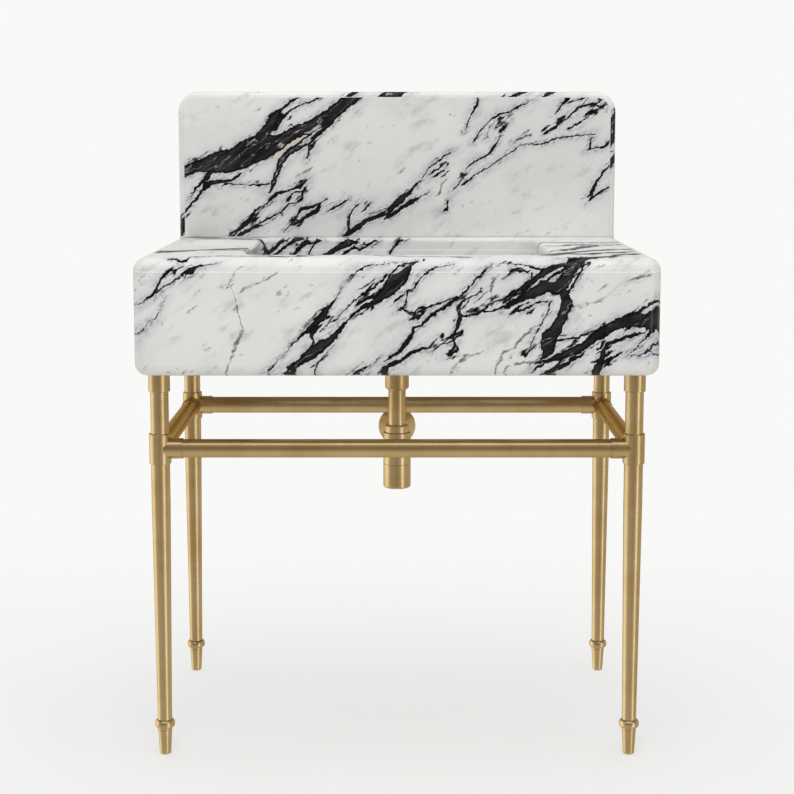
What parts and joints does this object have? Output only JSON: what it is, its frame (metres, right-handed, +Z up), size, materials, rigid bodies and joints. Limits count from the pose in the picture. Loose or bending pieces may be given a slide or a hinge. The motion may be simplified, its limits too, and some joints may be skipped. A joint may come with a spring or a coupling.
{
  "type": "vanity sink",
  "caption": "Marble apron-front basin with a backsplash, standing on a brass console frame of tapered legs and rails, with a pop-up plug and a bottle trap to the wall.",
  "frame": {"origin": "on the floor, under the middle of the part's box, which runs from the apron's front to the end of the waste outlet behind the wall plane", "axes": "+Z up, +X to the right for someone in front of the basin, +Y towards the wall"},
  "size_m": [0.864, 0.591, 1.1355],
  "materials": {
    "marble": "polished white marble with bold black and grey veins",
    "satin_brass": "satin brushed brass, brushed round the tubes",
    "steel": "plain stainless fixings",
    "seal_rubber": "matte black",
    "sealant": "white silicone bead"
  },
  "bodies": {
    "console": {"sink_block": "marble", "backsplash": "marble", "leg_inserts": "satin_brass", "front_rail": "satin_brass", "rear_rail": "satin_brass", "side_rail_left": "satin_brass", "side_rail_right": "satin_brass", "waste_flange": "satin_brass", "waste_washer": "satin_brass", "waste_lock_nut": "satin_brass", "drain_sleeve": "satin_brass", "tailpiece": "satin_brass", "trap_inlet_nut": "satin_brass", "trap_body": "satin_brass", "trap_cup": "satin_brass", "outlet_nut": "satin_brass", "outlet_tube": "satin_brass", "wall_rosette": "satin_brass", "leg_ferrule_front_left": "satin_brass", "upper_leg_front_left": "satin_brass", "leg_tee_front_left": "satin_brass", "lower_leg_front_left": "satin_brass", "leg_ring_front_left": "satin_brass", "leg_ferrule_front_right": "satin_brass", "upper_leg_front_right": "satin_brass", "leg_tee_front_right": "satin_brass", "lower_leg_front_right": "satin_brass", "leg_ring_front_right": "satin_brass", "leg_ferrule_rear_right": "satin_brass", "upper_leg_rear_right": "satin_brass", "leg_tee_rear_right": "satin_brass", "lower_leg_rear_right": "satin_brass", "leg_ring_rear_right": "satin_brass", "leg_ferrule_rear_left": "satin_brass", "upper_leg_rear_left": "satin_brass", "leg_tee_rear_left": "satin_brass", "lower_leg_rear_left": "satin_brass", "leg_ring_rear_left": "satin_brass", "leg_studs": "steel", "leg_nuts": "steel", "rail_grub_screws": "steel", "backsplash_sealant": "sealant", "waste_upper_seal": "seal_rubber", "waste_lower_seal": "seal_rubber", "trap_inlet_seal": "seal_rubber", "trap_cup_seal": "seal_rubber", "outlet_seal": "seal_rubber"},
    "plug": {"plug_cap": "satin_brass", "plug_seal": "seal_rubber", "plug_stem": "satin_brass", "plug_clip": "steel"},
    "foot_front_left": {"levelling_foot_front_left": "satin_brass", "foot_stud_front_left": "steel"},
    "foot_front_right": {"levelling_foot_front_right": "satin_brass", "foot_stud_front_right": "steel"},
    "foot_rear_right": {"levelling_foot_rear_right": "satin_brass", "foot_stud_rear_right": "steel"},
    "foot_rear_left": {"levelling_foot_rear_left": "satin_brass", "foot_stud_rear_left": "steel"}
  },
  "joints": [
    {"name": "plug_lift", "type": "slide", "parent": "console", "child": "plug", "axis": [0, 0, 1], "range_m": [0, 0.009]},
    {"name": "foot_turn_front_left", "type": "hinge", "parent": "console", "child": "foot_front_left", "pos_m": [-0.3976, -0.239, 0.02], "axis": [0, 0, 1], "continuous": true},
    {"name": "foot_turn_front_right", "type": "hinge", "parent": "console", "child": "foot_front_right", "pos_m": [0.3976, -0.239, 0.02], "axis": [0, 0, 1], "continuous": true},
    {"name": "foot_turn_rear_right", "type": "hinge", "parent": "console", "child": "foot_rear_right", "pos_m": [0.3976, 0.207, 0.02], "axis": [0, 0, 1], "continuous": true},
    {"name": "foot_turn_rear_left", "type": "hinge", "parent": "console", "child": "foot_rear_left", "pos_m": [-0.3976, 0.207, 0.02], "axis": [0, 0, 1], "continuous": true}
  ]
}
